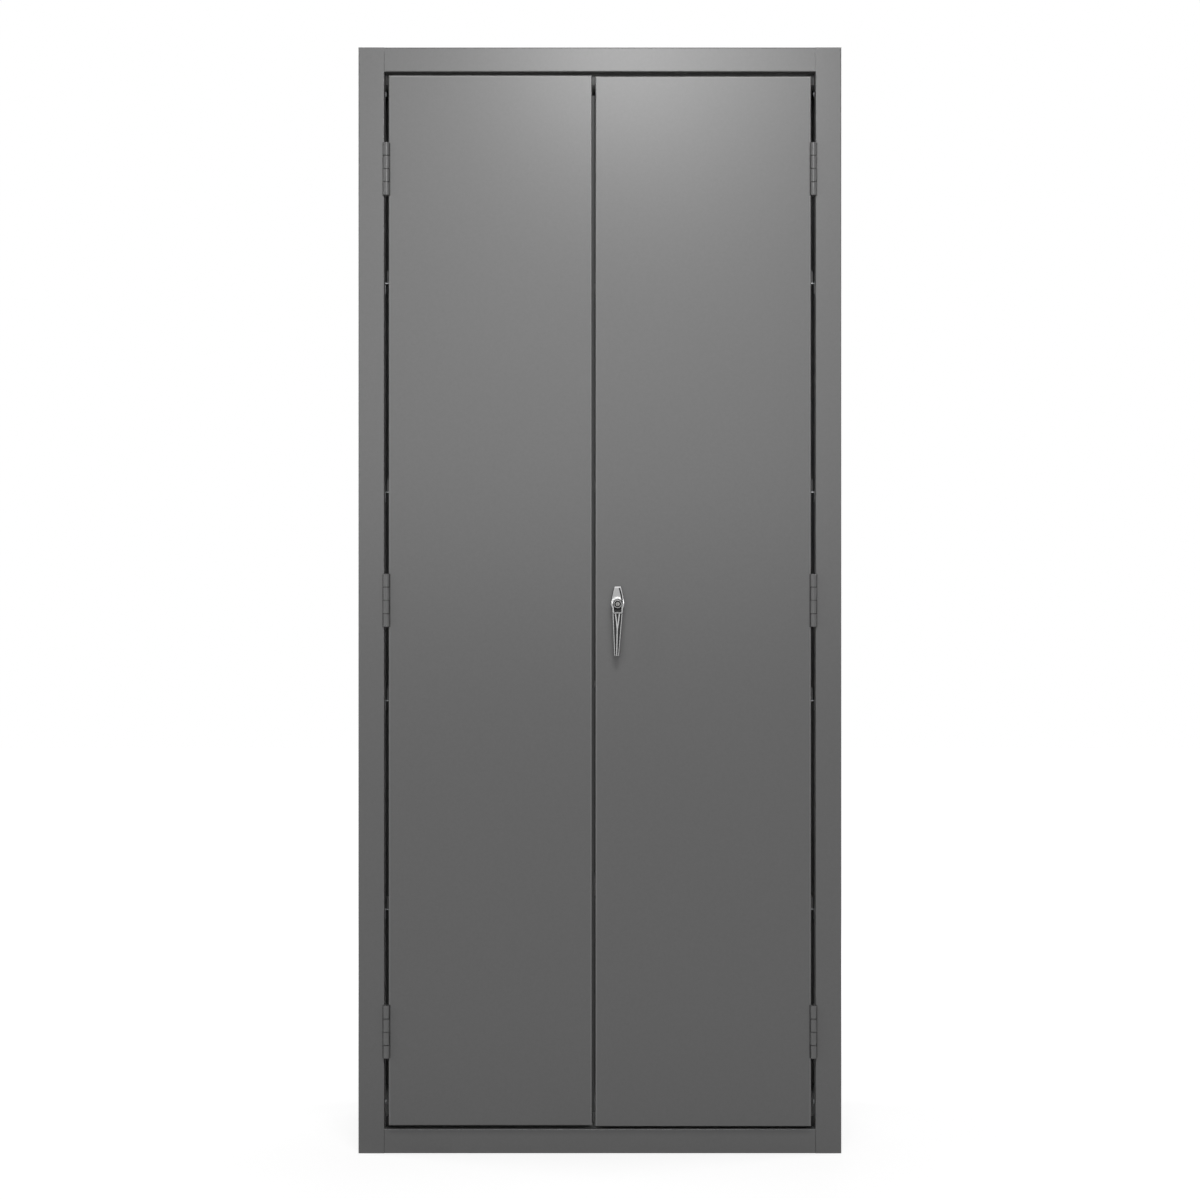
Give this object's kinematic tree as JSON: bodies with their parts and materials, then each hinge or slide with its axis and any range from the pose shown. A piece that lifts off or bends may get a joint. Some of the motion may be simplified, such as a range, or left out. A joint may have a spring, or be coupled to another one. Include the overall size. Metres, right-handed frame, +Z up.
{
  "type": "tool cabinet",
  "caption": "Upright steel tool cabinet with two hinged doors, lift-off shelves on slotted uprights, and a locking lever handle that drives two latch rods.",
  "frame": {"origin": "on the floor, under the middle of the whole cabinet's box, handle included", "axes": "+X to the right as seen from the front, +Y from the doors to the back wall, +Z up"},
  "size_m": [0.932, 0.653, 2.134],
  "materials": {
    "grey_paint": "satin grey powder coat",
    "shelf_paint": "satin grey powder coat",
    "chrome": "polished chrome plate",
    "lock_chrome": "polished lock ring",
    "lock_plug": "turned steel plug",
    "zinc": "bright zinc plate",
    "nylon": "natural nylon",
    "rubber": "black rubber"
  },
  "bodies": {
    "cabinet": {"left_side_panel": "grey_paint", "right_side_panel": "grey_paint", "back_panel": "grey_paint", "top_panel": "grey_paint", "bottom_panel": "grey_paint", "top_door_stop": "grey_paint", "bottom_door_stop": "grey_paint", "door_bumpers": "rubber", "front_left_upright": "grey_paint", "front_right_upright": "grey_paint", "rear_left_upright": "grey_paint", "rear_right_upright": "grey_paint", "upright_bolts": "zinc", "hinge_pins": "grey_paint", "shelf_1_clips": "zinc", "shelf_2_clips": "zinc", "shelf_3_clips": "zinc", "shelf_4_clips": "zinc", "left_upper_frame_leaf": "grey_paint", "left_middle_frame_leaf": "grey_paint", "left_lower_frame_leaf": "grey_paint", "right_upper_frame_leaf": "grey_paint", "right_middle_frame_leaf": "grey_paint", "right_lower_frame_leaf": "grey_paint"},
    "left_door": {"left_door_panel": "grey_paint", "left_door_stiffener": "grey_paint", "meeting_strip": "grey_paint", "left_upper_door_leaf": "grey_paint", "left_middle_door_leaf": "grey_paint", "left_lower_door_leaf": "grey_paint"},
    "right_door": {"right_door_panel": "grey_paint", "right_door_stiffener": "grey_paint", "latch_channel": "grey_paint", "handle_rose": "chrome", "rose_screws": "zinc", "spindle_bush": "nylon", "upper_rod_guide": "nylon", "lower_rod_guide": "nylon", "guide_screws": "zinc", "right_upper_door_leaf": "grey_paint", "right_middle_door_leaf": "grey_paint", "right_lower_door_leaf": "grey_paint"},
    "handle": {"handle_lever": "chrome", "lock_housing": "lock_chrome", "spindle": "zinc", "latch_cam": "zinc", "cam_washer": "zinc", "cam_nut": "zinc"},
    "lock_plug": {"lock_plug": "lock_plug"},
    "upper_rod": {"upper_latch_rod": "zinc"},
    "lower_rod": {"lower_latch_rod": "zinc"},
    "shelf_1": {"shelf_1": "shelf_paint"},
    "shelf_2": {"shelf_2": "shelf_paint"},
    "shelf_3": {"shelf_3": "shelf_paint"},
    "shelf_4": {"shelf_4": "shelf_paint"}
  },
  "joints": [
    {"name": "left_door_hinge", "type": "hinge", "parent": "cabinet", "child": "left_door", "pos_m": [-0.4118, -0.2885, 1.067], "axis": [0, 0, -1], "range_deg": [0, 180]},
    {"name": "right_door_hinge", "type": "hinge", "parent": "cabinet", "child": "right_door", "pos_m": [0.4118, -0.2885, 1.067], "axis": [0, 0, 1], "range_deg": [0, 180]},
    {"name": "handle_turn", "type": "hinge", "parent": "right_door", "child": "handle", "pos_m": [0.0341, -0.2835, 1.06], "axis": [0, -1, 0], "range_deg": [0, 90]},
    {"name": "lock_turn", "type": "hinge", "parent": "handle", "child": "lock_plug", "pos_m": [0.0341, -0.2835, 1.06], "axis": [0, -1, 0], "range_deg": [0, 90]},
    {"name": "upper_rod_slide", "type": "slide", "parent": "right_door", "child": "upper_rod", "axis": [0, 0, -1], "range_m": [0, 0.016]},
    {"name": "lower_rod_slide", "type": "slide", "parent": "right_door", "child": "lower_rod", "axis": [0, 0, 1], "range_m": [0, 0.016]},
    {"name": "shelf_1_lift", "type": "slide", "parent": "cabinet", "child": "shelf_1", "axis": [0, 0, 1], "range_m": [0, 0.04]},
    {"name": "shelf_2_lift", "type": "slide", "parent": "cabinet", "child": "shelf_2", "axis": [0, 0, 1], "range_m": [0, 0.04]},
    {"name": "shelf_3_lift", "type": "slide", "parent": "cabinet", "child": "shelf_3", "axis": [0, 0, 1], "range_m": [0, 0.04]},
    {"name": "shelf_4_lift", "type": "slide", "parent": "cabinet", "child": "shelf_4", "axis": [0, 0, 1], "range_m": [0, 0.04]}
  ],
  "couplings": [
    {"joint": "upper_rod_slide", "follows": "handle_turn", "m_per_rad": 0.010185},
    {"joint": "lower_rod_slide", "follows": "handle_turn", "m_per_rad": 0.010185}
  ]
}
